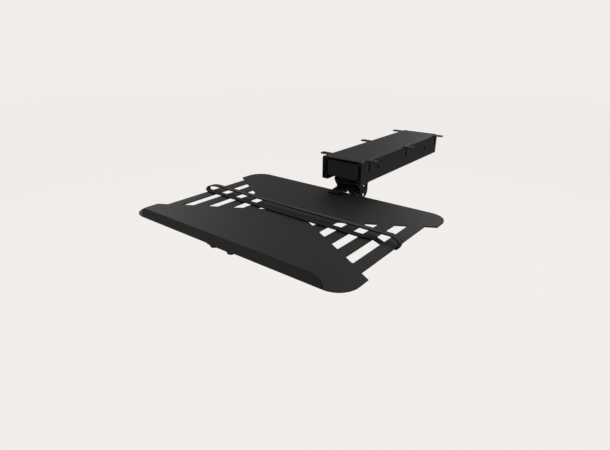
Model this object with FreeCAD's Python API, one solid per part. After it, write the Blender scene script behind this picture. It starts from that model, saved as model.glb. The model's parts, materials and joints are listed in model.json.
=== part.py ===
import FreeCAD, Part
import math
import os

from FreeCAD import Vector

# Under-desk laptop holder: a tray on a sliding, swivelling and tilting arm below a desk top.
# Millimetres. Origin: centre of the six screw tabs, on the underside of the desk.
# +X is right, +Y runs back under the desk, away from the user, +Z is up.

# General clearances
running_gap = 0.05
turning_gap = 0.15
seat_gap = 0.3

# Rail housing, folded from sheet and screwed to the desk
housing_width = 84.5
housing_height = 42.5
housing_length = 325.0
housing_sheet = 2.0
housing_bend = 4.0
housing_lower_bend = 2.5
lip_width = 12.0

# Screw tabs and the windows that they leave in the walls
tab_count = 3
tab_front_inset = 22.5
tab_back_inset = 13.5
tab_width = 12.0
tab_reach = 18.25
tab_corner = 3.0
tab_hole = 5.0
tab_hole_inset = 8.5
window_height = 19.5
window_slit = 0.5

# Ball slides of a stock 35 mm section, one in each side of the housing
slide_height = 35.0
slide_front_inset = 2.0
slide_back_inset = 3.0
slide_stop_inset = 20.0
slide_drop = 20.45
slide_sheet = 1.2
slide_depth = 9.6
ball_offset = 0.55
ball_radius = 2.0
ball_count = 6
ball_pitch = 12.0
race_gap = 0.1
cage_sheet = 0.6
cage_length = 72.0
cage_overlap = 80.0
outer_race_half_angle = 60.0
inner_race_free_angle = 30.0

# Pan-head screws in the housing walls and in the carriage
wall_screw_front_inset = 58.5
wall_screw_back_inset = 57.5
wall_screw_head = 3.5
wall_screw_head_height = 2.4
wall_screw_shank = 2.0
carriage_screw_front_inset = 67.5
carriage_screw_back_inset = 42.5
carriage_screw_head = 3.5
carriage_screw_head_height = 2.0

# Rubber buffers that end the travel
buffer_length = 6.0
buffer_height = 12.0
buffer_radius = 2.0

# Carriage, folded channel between the slides, with its front plate
carriage_sheet = 2.0
carriage_back_inset = 25.0
carriage_below_slide = 15.55
carriage_above_slide = 11.45
carriage_bend = 4.0
front_plate_width = 66.0
front_plate_above_slide = 14.2
front_plate_radius = 5.0
front_plate_setback = 4.0

# Turntable under the carriage
swivel_inset = 39.0
boss_radius = 26.0
boss_height = 5.0
turntable_radius = 29.5
turntable_thickness = 2.5
turntable_screw_circle = 20.0
turntable_screw_radius = 2.0
turntable_screw_head = 3.5
turntable_screw_head_height = 2.2
turntable_screw_count = 4
thrust_ring_radius = 24.0
thrust_ring_thickness = 0.5
swivel_disc_radius = 34.0
swivel_disc_thickness = 3.0
swivel_bolt_radius = 5.0
swivel_bolt_head = 9.0
swivel_bolt_head_height = 4.0
swivel_washer_radius = 10.0
swivel_washer_thickness = 2.0
swivel_washer_count = 2
swivel_nut_flats = 16.0
swivel_nut_height = 8.0
swivel_bolt_end = 2.0

# Tilt fork, its two cheeks and the tilt pin
tilt_drop = 17.35
fork_sheet = 2.0
fork_bend = 3.5
fork_half_width = 26.0
cheek_radius = 13.5
cheek_top_front = 22.0
cheek_flare_height = 5.0
cheek_window_radius = 3.5
cheek_window_offset = 8.1
fork_web_back = 13.5
tilt_pin_radius = 3.0
tilt_pin_peen = 4.2
tilt_pin_peen_height = 1.5
tilt_nut_flats = 10.0
tilt_nut_height = 4.0
tilt_washer_radius = 6.0
tilt_washer_thickness = 1.0
friction_washer_radius = 5.5
friction_washer_thickness = 1.3
spacer_radius = 11.0

# Tray plate
tray_rise = 3.75
tray_sheet = 2.0
tray_setback = 39.5
tray_depth = 296.75
tray_half_width = 206.0
tray_rail_half_width = 190.25
tray_corner = 30.0
ear_half_length = 99.0
rail_half_length = 90.0
front_lip_height = 16.0
front_lip_half_length = 174.5
front_lip_corner = 13.0
front_lip_fillet = 3.0

# Slots in the tray, cut back along a chevron
slot_width = 17.5
slot_pitch = 37.15
slot_count = 4
slot_rail_width = 20.25
slot_half_length = 76.75
slot_slope = 0.577
slot_corner = 1.5

# Arm under the tray, with the two lugs that hang on the tilt pin
arm_sheet = 3.0
arm_bend = 4.0
arm_lug_radius = 6.5
arm_neck_depth = 5.75
arm_flange_depth = 15.25
arm_flange_deep_back = 18.0
arm_flange_end = 215.0
arm_web_back = 36.0
arm_pad_half_width = 30.0
arm_pad_length = 68.0
arm_front_inset = 3.5
arm_pad_corner = 8.0

# Weld studs and flange nuts that hold the arm to the tray
stud_radius = 3.0
stud_length = 8.25
stud_pair_half_spacing = 17.0
stud_front_inset = 10.5
stud_rear_half_spacing = 9.0
stud_rear_offset = 36.0
stud_middle_offset = 170.0
nut_flange_radius = 7.0
nut_flange_height = 1.6
nut_flats = 10.0
nut_height = 4.5

# Strap loop: one run over the laptop and one on the plate. The right end goes round the side rail and up
# through the outermost slot; the left end lies free over the other rail, to be hooked round it.
strap_offset = 134.0
strap_under_offset = 145.0
strap_lower_offset = 149.5
strap_width = 10.5
strap_thickness = 2.4
strap_rise = 8.0
strap_under_rail = 3.6
strap_upper_bend = 17.5
strap_lower_bend = 2.5
strap_lead = 0.4
strap_rail_clearance = 1.1
strap_slot_margin = 1.5
strap_free_bend = 16.5
strap_free_reach = 9.0
strap_bend_steps = 9

# Tilt lock lever, an L-shaped strip with a grip pad over the tray's rear edge
lever_left = -12.0
lever_width = 10.0
lever_hub_radius = 7.0
lever_sheet = 2.5
lever_neck_rise = 3.0
lever_step = 1.6
lever_step_y = 1.0
lever_reach = 60.5
lever_foot_right = 11.0
grip_length = 13.5
grip_margin = 1.0
grip_thickness = 3.8
grip_corner = 2.5
grip_edge = 0.6

# Values worked out from the sizes above
housing_half = housing_width / 2
tab_pitch = (housing_length - tab_front_inset - tab_back_inset) / (tab_count - 1)
housing_front = -tab_pitch * (tab_count - 1) / 2 - tab_front_inset
housing_back = housing_front + housing_length
wall_inside = housing_half - housing_sheet
slide_front = housing_front + slide_front_inset
slide_back = housing_back - slide_back_inset
inner_slide_front = housing_front + front_plate_setback + carriage_sheet
inner_slide_back = slide_back - slide_stop_inset
slide_z = -slide_drop
ball_height = slide_height / 2 - slide_sheet - race_gap - ball_radius
race_radius = ball_radius + race_gap
race_outer_radius = race_radius + slide_sheet
slide_inside = wall_inside - slide_depth
ball_x = wall_inside - slide_depth / 2 + ball_offset
travel = inner_slide_back - slide_front - cage_overlap
cage_front = slide_front + travel / 2 + (cage_overlap - cage_length) / 2
wall_screw_places = (slide_front + wall_screw_front_inset, slide_back - wall_screw_back_inset)
carriage_half = slide_inside
carriage_back = housing_back - carriage_back_inset
carriage_screw_places = (housing_front + carriage_screw_front_inset, carriage_back - carriage_screw_back_inset)
carriage_bottom = slide_z - carriage_below_slide
carriage_side_top = slide_z + carriage_above_slide
front_plate_top = slide_z + front_plate_above_slide
swivel_y = housing_front + swivel_inset
boss_bottom = carriage_bottom - boss_height
turntable_bottom = boss_bottom - turntable_thickness
disc_top = turntable_bottom - thrust_ring_thickness - turning_gap
disc_bottom = disc_top - swivel_disc_thickness
fork_web_bottom = disc_bottom - fork_sheet
tilt_z = disc_bottom - tilt_drop
cheek_inside = fork_half_width - fork_sheet
lug_outside = cheek_inside - friction_washer_thickness - turning_gap
lug_inside = lug_outside - arm_sheet
tray_top = tilt_z + tray_rise
tray_bottom = tray_top - tray_sheet
tray_rear = swivel_y - tray_setback
tray_front = tray_rear - tray_depth
tray_middle = tray_rear - tray_depth / 2
arm_front = tray_front + arm_front_inset
arm_web_bottom = tray_bottom - arm_sheet
slot_outer_edge = tray_rail_half_width - slot_rail_width
strap_y = tray_rear - strap_offset
strap_under_y = tray_rear - strap_under_offset
strap_lower_y = tray_rear - strap_lower_offset
strap_lower_z = tray_top + seat_gap + strap_thickness / 2
strap_upper_z = tray_top + strap_rise
strap_under_z = tray_top - strap_under_rail
strap_slot_start = slot_outer_edge - slot_width + strap_slot_margin
strap_slot_end = slot_outer_edge - strap_slot_margin
strap_straight_end = slot_outer_edge - slot_pitch


def box(x0, x1, y0, y1, z0, z1):
    return Part.makeBox(x1 - x0, y1 - y0, z1 - z0, Vector(x0, y0, z0))


def rod(x, y, z0, z1, radius):
    return Part.makeCylinder(radius, z1 - z0, Vector(x, y, z0), Vector(0, 0, 1))


def cross_rod(x0, x1, y, z, radius):
    return Part.makeCylinder(radius, x1 - x0, Vector(x0, y, z), Vector(1, 0, 0))


def prism_x(points, x0, x1):
    wire = Part.makePolygon([Vector(x0, y, z) for y, z in points + points[:1]])
    return Part.Face(wire).extrude(Vector(x1 - x0, 0, 0))


def prism_z(points, z0, z1):
    wire = Part.makePolygon([Vector(x, y, z0) for x, y in points + points[:1]])
    return Part.Face(wire).extrude(Vector(0, 0, z1 - z0))


def mirrored(shape):
    return shape.mirror(Vector(0, 0, 0), Vector(1, 0, 0))


def fuse(shapes):
    joined = shapes[0].fuse(shapes[1:]) if len(shapes) > 1 else shapes[0]
    return joined.removeSplitter()


def edges_along(shape, axis, test):
    """Straight edges parallel to an axis whose middle passes the test."""
    chosen = []
    for edge in shape.Edges:
        if not isinstance(edge.Curve, Part.Line):
            continue
        direction = edge.tangentAt(edge.FirstParameter)
        if abs(direction.dot(axis)) > 0.999 and test(edge.CenterOfMass):
            chosen.append(edge)
    return chosen


def rounded_box(x0, x1, y0, y1, z0, z1, radius):
    """A box with its four upright edges rounded."""
    block = box(x0, x1, y0, y1, z0, z1)
    return block.makeFillet(radius, edges_along(block, Vector(0, 0, 1), lambda point: True))


def hex_nut(x, y, z0, height, flats):
    corner = flats / math.sqrt(3)
    points = []
    for step in range(6):
        angle = math.radians(60 * step)
        points.append((x + corner * math.cos(angle), y + corner * math.sin(angle)))
    return prism_z(points, z0, z0 + height)


def race(centre_x, centre_z, start, end, y0, y1):
    """A ball race: a strip of sheet curved round the balls, between two angles in degrees."""
    ring = Part.makeCylinder(race_outer_radius, y1 - y0, Vector(0, 0, 0), Vector(0, 0, 1), end - start)
    core = Part.makeCylinder(race_radius, y1 - y0, Vector(0, 0, 0), Vector(0, 0, 1), end - start)
    strip = ring.cut(core)
    strip.rotate(Vector(0, 0, 0), Vector(0, 0, 1), start)
    # The sector lies in XY about Z; a quarter turn about X brings it into XZ about -Y.
    strip.rotate(Vector(0, 0, 0), Vector(1, 0, 0), 90)
    strip.translate(Vector(centre_x, y1, centre_z))
    return strip


# Housing

def tab_places():
    first = -tab_pitch * (tab_count - 1) / 2
    return [first + tab_pitch * number for number in range(tab_count)]


def make_rail_housing():
    front, back = housing_front, housing_back
    along = Vector(0, 1, 0)
    shell = box(-housing_half, housing_half, front, back, -housing_height, 0)
    upper = edges_along(shell, along, lambda point: point.z > -1)
    shell = shell.makeFillet(housing_bend, upper)
    lower = edges_along(shell, along, lambda point: point.z < 1 - housing_height)
    shell = shell.makeFillet(housing_lower_bend, lower)
    hollow = box(-wall_inside, wall_inside, front - 1, back + 1, -housing_height + housing_sheet, -housing_sheet)
    upper = edges_along(hollow, along, lambda point: point.z > -housing_sheet - 1)
    hollow = hollow.makeFillet(housing_bend - housing_sheet, upper)
    mouth = housing_half - lip_width
    shell = shell.cut(hollow)
    shell = shell.cut(box(-mouth, mouth, front - 1, back + 1, -housing_height - 1, -housing_height / 2))
    cuts = []
    tabs = []
    for y in tab_places():
        reach = housing_half + tab_reach
        half = tab_width / 2
        tab = rounded_box(housing_half - housing_bend * 2, reach, y - half, y + half, -housing_sheet, 0, tab_corner)
        tab = tab.fuse(box(housing_half - housing_bend * 2, housing_half, y - half, y + half, -housing_sheet, 0))
        tab = tab.cut(rod(reach - tab_hole_inset, y, -housing_sheet - 1, 1, tab_hole / 2))
        opening = half + window_slit
        window = box(wall_inside - housing_bend, housing_half + 1, y - opening, y + opening,
                     -housing_sheet - window_height, -housing_sheet)
        slit = box(housing_half - housing_bend, housing_half + 1, y - opening, y + opening, -housing_sheet - 1, 1)
        cuts += [window, slit, mirrored(window), mirrored(slit)]
        tabs += [tab, mirrored(tab)]
    for y in wall_screw_places:
        hole = cross_rod(-housing_half - 1, housing_half + 1, y, slide_z, wall_screw_shank + running_gap)
        cuts.append(hole)
    shell = shell.cut(Part.makeCompound(cuts))
    return fuse([shell] + tabs)


# Slides

def make_outer_slide():
    """Right outer member: a web on the wall and a race along its top and its bottom."""
    y0, y1 = slide_front, slide_back
    web_x = wall_inside - slide_sheet
    shoulder = race_radius * math.sin(math.radians(90 - outer_race_half_angle))
    pieces = [box(web_x, wall_inside, y0, y1, slide_z - ball_height - shoulder, slide_z + ball_height + shoulder)]
    for side in (1, -1):
        middle = 90 * side
        centre_z = slide_z + side * ball_height
        pieces.append(race(ball_x, centre_z, middle - outer_race_half_angle, middle + outer_race_half_angle, y0, y1))
        low = centre_z + side * shoulder
        high = low + side * slide_sheet
        pieces.append(box(ball_x + race_radius * math.sin(math.radians(outer_race_half_angle)), wall_inside,
                          y0, y1, min(low, high), max(low, high)))
    member = fuse(pieces)
    for y in wall_screw_places:
        member = member.cut(cross_rod(web_x - 1, wall_inside + 1, y, slide_z, wall_screw_shank + running_gap))
    return member


def make_inner_slide():
    """Right inner member: a web on the carriage and a race below the top balls and above the bottom ones."""
    y0, y1 = inner_slide_front, inner_slide_back
    free = math.radians(inner_race_free_angle)
    shoulder = race_radius * math.sin(math.radians(90 - outer_race_half_angle))
    half_web = ball_height - shoulder
    pieces = [box(slide_inside, slide_inside + slide_sheet, y0, y1, slide_z - half_web, slide_z + half_web)]
    for side in (1, -1):
        centre_z = slide_z + side * ball_height
        inward = -90 * side
        carriage_end = inward - side * outer_race_half_angle
        free_end = inward + side * math.degrees(free)
        pieces.append(race(ball_x, centre_z, min(carriage_end, free_end), max(carriage_end, free_end), y0, y1))
        near = centre_z - side * shoulder
        far = near - side * slide_sheet
        pieces.append(box(slide_inside, ball_x - race_radius * math.sin(math.radians(outer_race_half_angle)),
                          y0, y1, min(near, far), max(near, far)))
    member = fuse(pieces)
    for y in carriage_screw_places:
        member = member.cut(cross_rod(slide_inside - 1, slide_inside + slide_sheet + 1, y, slide_z,
                                      wall_screw_shank + running_gap))
    return member


def ball_places():
    first = cage_front + cage_length / 2 - ball_pitch * (ball_count - 1) / 2
    return [first + ball_pitch * number for number in range(ball_count)]


def make_ball_cage():
    """Right cage: a strip folded to a channel, with a hole for each ball in its two legs."""
    y0, y1 = cage_front, cage_front + cage_length
    web_x = ball_x + ball_radius + race_gap
    leg_start = ball_x - ball_radius - cage_sheet
    top = ball_height + cage_sheet / 2
    pieces = [box(web_x, web_x + cage_sheet, y0, y1, slide_z - top, slide_z + top)]
    for side in (1, -1):
        middle = slide_z + side * ball_height
        pieces.append(box(leg_start, web_x, y0, y1, middle - cage_sheet / 2, middle + cage_sheet / 2))
    cage = fuse(pieces)
    holes = [rod(ball_x, y, slide_z - top - 1, slide_z + top + 1, ball_radius + running_gap) for y in ball_places()]
    return cage.cut(Part.makeCompound(holes))


def make_slide_balls():
    balls = []
    for side in (1, -1):
        for y in ball_places():
            balls.append(Part.makeSphere(ball_radius, Vector(ball_x, y, slide_z + side * ball_height)))
    return Part.makeCompound(balls)


def make_wall_screws():
    screws = []
    for y in wall_screw_places:
        head = cross_rod(housing_half, housing_half + wall_screw_head_height, y, slide_z, wall_screw_head)
        rim = [edge for edge in head.Edges if edge.CenterOfMass.x > housing_half + wall_screw_head_height / 2
               and isinstance(edge.Curve, Part.Circle)]
        head = head.makeFillet(wall_screw_head_height / 2, rim)
        shank = cross_rod(wall_inside - slide_sheet, housing_half + 1, y, slide_z, wall_screw_shank)
        screw = fuse([head, shank])
        screws += [screw, mirrored(screw)]
    return Part.makeCompound(screws)


def make_stop_buffers():
    """Rubber buffers on the webs of the outer members, behind the inner members."""
    y0 = inner_slide_back + seat_gap
    block = box(slide_inside + slide_sheet, wall_inside - slide_sheet, y0, y0 + buffer_length,
                slide_z - buffer_height / 2, slide_z + buffer_height / 2)
    block = block.makeFillet(buffer_radius, edges_along(block, Vector(1, 0, 0), lambda point: True))
    return Part.makeCompound([block, mirrored(block)])


# Carriage

def make_carriage_channel():
    y0, y1 = inner_slide_front, carriage_back
    along = Vector(0, 1, 0)
    solid = box(-carriage_half, carriage_half, y0, y1, carriage_bottom, carriage_side_top)
    solid = solid.makeFillet(carriage_bend, edges_along(solid, along, lambda point: point.z < carriage_bottom + 1))
    inside = carriage_half - carriage_sheet
    hollow = box(-inside, inside, y0 - 1, y1 + 1, carriage_bottom + carriage_sheet, carriage_side_top + 1)
    floor = edges_along(hollow, along, lambda point: point.z < carriage_bottom + carriage_sheet + 1)
    hollow = hollow.makeFillet(carriage_bend - carriage_sheet, floor)
    channel = solid.cut(hollow)
    cuts = [rod(0, swivel_y, carriage_bottom - 1, carriage_bottom + carriage_sheet + 1,
                swivel_bolt_radius + turning_gap)]
    for y in carriage_screw_places:
        cuts.append(cross_rod(-carriage_half - 1, carriage_half + 1, y, slide_z, wall_screw_shank + running_gap))
    for x, y in turntable_screw_places():
        cuts.append(rod(x, y, carriage_bottom - 1, carriage_bottom + carriage_sheet + 1,
                        turntable_screw_radius + running_gap))
    return channel.cut(Part.makeCompound(cuts))


def make_front_plate():
    half = front_plate_width / 2
    y0 = housing_front + front_plate_setback
    plate = box(-half, half, y0, y0 + carriage_sheet, carriage_bottom, front_plate_top)
    return plate.makeFillet(front_plate_radius, edges_along(plate, Vector(0, 1, 0), lambda point: True))


def make_carriage_screws():
    screws = []
    inside = carriage_half - carriage_sheet
    for y in carriage_screw_places:
        head = cross_rod(inside - carriage_screw_head_height, inside, y, slide_z, carriage_screw_head)
        shank = cross_rod(inside - 1, carriage_half + slide_sheet, y, slide_z, wall_screw_shank)
        screw = fuse([head, shank])
        screws += [screw, mirrored(screw)]
    return Part.makeCompound(screws)


def turntable_screw_places():
    places = []
    for number in range(turntable_screw_count):
        angle = math.radians(45 + 360 * number / turntable_screw_count)
        places.append((turntable_screw_circle * math.cos(angle),
                       swivel_y + turntable_screw_circle * math.sin(angle)))
    return places


def turntable_disc(z0, z1, radius, bore):
    disc = rod(0, swivel_y, z0, z1, radius)
    return disc.cut(rod(0, swivel_y, z0 - 1, z1 + 1, bore))


def make_swivel_boss():
    boss = turntable_disc(boss_bottom, carriage_bottom, boss_radius, swivel_bolt_radius + turning_gap)
    holes = [rod(x, y, boss_bottom - 1, carriage_bottom + 1, turntable_screw_radius + running_gap)
             for x, y in turntable_screw_places()]
    return boss.cut(Part.makeCompound(holes))


def make_turntable_plate():
    plate = turntable_disc(turntable_bottom, boss_bottom, turntable_radius, swivel_bolt_radius + turning_gap)
    holes = []
    for x, y in turntable_screw_places():
        holes.append(rod(x, y, turntable_bottom - 1, boss_bottom + 1, turntable_screw_radius + running_gap))
    return plate.cut(Part.makeCompound(holes))


def make_turntable_screws():
    screws = []
    floor = carriage_bottom + carriage_sheet
    for x, y in turntable_screw_places():
        head = rod(x, y, floor, floor + turntable_screw_head_height, turntable_screw_head)
        shank = rod(x, y, turntable_bottom, floor + 1, turntable_screw_radius)
        screws.append(fuse([head, shank]))
    return Part.makeCompound(screws)


def make_thrust_ring():
    z1 = turntable_bottom
    return turntable_disc(z1 - thrust_ring_thickness, z1, thrust_ring_radius, swivel_bolt_radius + turning_gap)


# Swivel head

def make_swivel_disc():
    return turntable_disc(disc_bottom, disc_top, swivel_disc_radius, swivel_bolt_radius + running_gap)


def make_tilt_fork():
    """A channel folded from sheet: a web under the swivel disc and two cheeks, each with two round windows."""
    y, z = swivel_y, tilt_z
    along = Vector(0, 1, 0)
    front, back, low = y - cheek_top_front, y + fork_web_back, z - cheek_radius
    solid = box(-fork_half_width, fork_half_width, front, back, low, disc_bottom)
    solid = solid.makeFillet(fork_bend, edges_along(solid, along, lambda point: point.z > disc_bottom - 1))
    hollow = box(-cheek_inside, cheek_inside, front - 1, back + 1, low - 1, fork_web_bottom)
    hollow = hollow.makeFillet(fork_bend - fork_sheet,
                               edges_along(hollow, along, lambda point: point.z > fork_web_bottom - 1))
    outline = [(front, disc_bottom), (y - cheek_radius, z + cheek_flare_height), (y - cheek_radius, z),
               (y + cheek_radius, z), (y + cheek_radius, disc_bottom)]
    width = fork_half_width + 1
    side = fuse([prism_x(outline, -width, width), cross_rod(-width, width, y, z, cheek_radius)])
    cuts = [cross_rod(-width, width, y, z, tilt_pin_radius + running_gap),
            rod(0, y, fork_web_bottom - 1, disc_bottom + 1, swivel_bolt_radius + running_gap)]
    for direction in (1, -1):
        cuts.append(cross_rod(-width, width, y, z + direction * cheek_window_offset, cheek_window_radius))
    return solid.cut(hollow).common(side).cut(Part.makeCompound(cuts))


def swivel_stack_floor():
    return carriage_bottom + carriage_sheet + turning_gap


def make_swivel_bolt():
    top = swivel_stack_floor() + swivel_washer_count * swivel_washer_thickness + swivel_nut_height + swivel_bolt_end
    head = rod(0, swivel_y, fork_web_bottom - swivel_bolt_head_height, fork_web_bottom, swivel_bolt_head)
    rim = [edge for edge in head.Edges if isinstance(edge.Curve, Part.Circle)
           and edge.CenterOfMass.z < fork_web_bottom - swivel_bolt_head_height / 2]
    head = head.makeFillet(swivel_bolt_head_height / 2, rim)
    return fuse([head, rod(0, swivel_y, fork_web_bottom - 1, top, swivel_bolt_radius)])


def make_swivel_spring_washers():
    """Two dished washers, back to back, that load the thrust ring."""
    floor = swivel_stack_floor()
    inner = swivel_bolt_radius + running_gap
    half = swivel_washer_thickness / 2
    washers = []
    for number in range(swivel_washer_count):
        z = floor + number * swivel_washer_thickness
        outside_first = number % 2 == 0
        outer_z = z if outside_first else z + half
        inner_z = z + half if outside_first else z
        profile = [Vector(inner, 0, inner_z), Vector(swivel_washer_radius, 0, outer_z),
                   Vector(swivel_washer_radius, 0, outer_z + half), Vector(inner, 0, inner_z + half)]
        face = Part.Face(Part.makePolygon(profile + profile[:1]))
        washer = face.revolve(Vector(0, 0, 0), Vector(0, 0, 1), 360)
        washer.translate(Vector(0, swivel_y, 0))
        washers.append(washer)
    return Part.makeCompound(washers)


def make_swivel_nut():
    z0 = swivel_stack_floor() + swivel_washer_count * swivel_washer_thickness
    nut = hex_nut(0, swivel_y, z0, swivel_nut_height, swivel_nut_flats)
    return nut.cut(rod(0, swivel_y, z0 - 1, z0 + swivel_nut_height + 1, swivel_bolt_radius + running_gap))


def make_tilt_pin():
    """A pin whose right end is peened over the cheek and whose left end takes the nut."""
    left = -fork_half_width - tilt_washer_thickness - tilt_nut_height - 1
    shaft = cross_rod(left, fork_half_width, swivel_y, tilt_z, tilt_pin_radius)
    peen = Part.makeCone(tilt_pin_peen, tilt_pin_radius - 1, tilt_pin_peen_height,
                         Vector(fork_half_width, swivel_y, tilt_z), Vector(1, 0, 0))
    return fuse([shaft, peen])


def ring_on_pin(x0, x1, radius, bore):
    ring = cross_rod(x0, x1, swivel_y, tilt_z, radius)
    return ring.cut(cross_rod(x0 - 1, x1 + 1, swivel_y, tilt_z, bore))


def make_tilt_outer_washer():
    x1 = -fork_half_width
    return ring_on_pin(x1 - tilt_washer_thickness, x1, tilt_washer_radius, tilt_pin_radius + running_gap)


def make_tilt_nut():
    x1 = -fork_half_width - tilt_washer_thickness
    nut = hex_nut(0, 0, 0, tilt_nut_height, tilt_nut_flats)
    nut.rotate(Vector(0, 0, 0), Vector(0, 1, 0), -90)
    nut.translate(Vector(x1, swivel_y, tilt_z))
    return nut.cut(cross_rod(x1 - tilt_nut_height - 1, x1 + 1, swivel_y, tilt_z, tilt_pin_radius + running_gap))


def make_friction_washers():
    """Washers between each cheek and the lug inside it."""
    washer = ring_on_pin(cheek_inside - friction_washer_thickness, cheek_inside, friction_washer_radius,
                         tilt_pin_radius + running_gap)
    return Part.makeCompound([washer, mirrored(washer)])


def make_spacer_sleeves():
    """Sleeves on the pin that keep the lever hub and the lugs apart."""
    bore = tilt_pin_radius + running_gap
    right = ring_on_pin(lever_left + lever_width + turning_gap, lug_inside - turning_gap, spacer_radius, bore)
    left = ring_on_pin(-lug_inside + turning_gap, lever_left - turning_gap, spacer_radius, bore)
    return Part.makeCompound([left, right])


# Tray

def tray_outline():
    """Plan of the plate as one closed wire: rounded corners, side ears and recessed rails."""
    half, rail, corner = tray_half_width, tray_rail_half_width, tray_corner
    diagonal = corner * (1 - math.sqrt(0.5))
    edges = []

    def line(a, b):
        edges.append(Part.LineSegment(Vector(a[0], a[1], 0), Vector(b[0], b[1], 0)).toShape())

    def arc(a, b, c):
        points = [Vector(p[0], p[1], 0) for p in (a, b, c)]
        edges.append(Part.Arc(*points).toShape())

    right = [(half, tray_rear - corner), (half, tray_middle + ear_half_length),
             (rail, tray_middle + rail_half_length), (rail, tray_middle - rail_half_length),
             (half, tray_middle - ear_half_length), (half, tray_front + corner)]
    for a, b in zip(right, right[1:]):
        line(a, b)
        line((-a[0], a[1]), (-b[0], b[1]))
    for side in (1, -1):
        arc((side * half, tray_front + corner), (side * (half - diagonal), tray_front + diagonal),
            (side * (half - corner), tray_front))
        arc((side * half, tray_rear - corner), (side * (half - diagonal), tray_rear - diagonal),
            (side * (half - corner), tray_rear))
    line((half - corner, tray_front), (corner - half, tray_front))
    line((half - corner, tray_rear), (corner - half, tray_rear))
    return Part.Wire(Part.__sortEdges__(edges))


def slot_cutter(number):
    """One slot on the right, with ends that follow the chevron."""
    outer = slot_outer_edge - number * slot_pitch
    inner = outer - slot_width
    outer_half = slot_half_length - slot_slope * (slot_outer_edge - outer)
    inner_half = slot_half_length - slot_slope * (slot_outer_edge - inner)
    points = [(inner, tray_middle - inner_half), (outer, tray_middle - outer_half),
              (outer, tray_middle + outer_half), (inner, tray_middle + inner_half)]
    cutter = prism_z(points, tray_bottom - 1, tray_top + 1)
    return cutter.makeFillet(slot_corner, edges_along(cutter, Vector(0, 0, 1), lambda point: True))


def make_front_lip():
    half = front_lip_half_length
    top = tray_top + front_lip_height
    lip = box(-half, half, tray_front, tray_front + tray_sheet, tray_bottom, top)
    upper = edges_along(lip, Vector(0, 1, 0), lambda point: point.z > top - 1)
    lip = lip.makeFillet(front_lip_corner, upper)
    bend = box(-half, half, tray_front + tray_sheet, tray_front + tray_sheet + front_lip_fillet,
               tray_top, tray_top + front_lip_fillet)
    bend = bend.cut(cross_rod(-half - 1, half + 1, tray_front + tray_sheet + front_lip_fillet,
                              tray_top + front_lip_fillet, front_lip_fillet))
    return [lip, bend]


def make_tray_plate():
    plate = Part.Face(tray_outline()).extrude(Vector(0, 0, tray_sheet))
    plate.translate(Vector(0, 0, tray_bottom))
    plate = fuse([plate] + make_front_lip())
    front_edge = edges_along(plate, Vector(1, 0, 0),
                             lambda point: abs(point.y - tray_front) < 0.01 and abs(point.z - tray_bottom) < 0.01)
    plate = plate.makeFillet(tray_sheet * 0.9, front_edge)
    cutters = []
    for number in range(slot_count):
        cutter = slot_cutter(number)
        cutters += [cutter, mirrored(cutter)]
    return plate.cut(Part.makeCompound(cutters))


def arm_side_outline():
    """Side view of the folded arm: a lug, a shallow neck, and a flange that tapers to the front."""
    y, z = swivel_y, tilt_z
    neck = tray_bottom - arm_neck_depth
    deep = tray_rear - arm_flange_deep_back
    end = tray_rear - arm_flange_end
    return [(y, z + arm_lug_radius), (y - arm_web_back, tray_bottom), (arm_front + arm_pad_length, tray_bottom),
            (arm_front + arm_pad_length, arm_web_bottom), (end, arm_web_bottom), (deep, tray_bottom - arm_flange_depth),
            (tray_rear + 2, neck - 2), (tray_rear + 12, neck), (y - arm_lug_radius, neck), (y, z - arm_lug_radius)]


def make_tray_arm():
    y = swivel_y
    along = Vector(0, 1, 0)
    pad_back = arm_front + arm_pad_length
    low = tray_bottom - arm_flange_depth
    solid = box(-lug_outside, lug_outside, pad_back, y - arm_web_back, low, tray_bottom)
    solid = solid.makeFillet(arm_bend, edges_along(solid, along, lambda point: point.z > tray_bottom - 1))
    hollow = box(-lug_inside, lug_inside, pad_back - 1, y, low - 1, arm_web_bottom)
    hollow = hollow.makeFillet(arm_bend - arm_sheet,
                               edges_along(hollow, along, lambda point: point.z > arm_web_bottom - 1))
    side = prism_x(arm_side_outline(), -lug_outside - 1, lug_outside + 1)
    channel = solid.cut(hollow).common(side)
    lug = prism_x(arm_side_outline(), lug_inside, lug_outside)
    lug = lug.common(box(lug_inside, lug_outside, y - arm_web_back, y, low, tilt_z + arm_lug_radius))
    lug = lug.fuse(cross_rod(lug_inside, lug_outside, y, tilt_z, arm_lug_radius))
    pad = rounded_box(-arm_pad_half_width, arm_pad_half_width, arm_front, pad_back, arm_web_bottom, tray_bottom,
                      arm_pad_corner)
    bridge = box(-lug_outside + arm_bend, lug_outside - arm_bend, pad_back - arm_pad_corner * 2, pad_back + 1,
                 arm_web_bottom, tray_bottom)
    arm = fuse([channel, bridge, pad, lug, mirrored(lug)])
    cuts = [cross_rod(-lug_outside - 1, lug_outside + 1, y, tilt_z, tilt_pin_radius + running_gap)]
    for x, stud_y in stud_places():
        cuts.append(rod(x, stud_y, arm_web_bottom - 1, tray_bottom + 1, stud_radius + running_gap))
    return arm.cut(Part.makeCompound(cuts))


def stud_places():
    rows = [(stud_pair_half_spacing, tray_front + stud_front_inset),
            (stud_rear_half_spacing, tray_rear - stud_middle_offset),
            (stud_rear_half_spacing, tray_rear - stud_rear_offset)]
    return [(side * half, y) for half, y in rows for side in (-1, 1)]


def make_tray_studs():
    return Part.makeCompound([rod(x, y, tray_bottom - stud_length, tray_bottom, stud_radius)
                              for x, y in stud_places()])


def make_tray_nuts():
    nuts = []
    for x, y in stud_places():
        flange = rod(x, y, arm_web_bottom - nut_flange_height, arm_web_bottom, nut_flange_radius)
        body = hex_nut(x, y, arm_web_bottom - nut_height, nut_height, nut_flats)
        nut = fuse([flange, body])
        nuts.append(nut.cut(rod(x, y, arm_web_bottom - nut_height - 1, arm_web_bottom + 1,
                                stud_radius + running_gap)))
    return Part.makeCompound(nuts)


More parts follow.
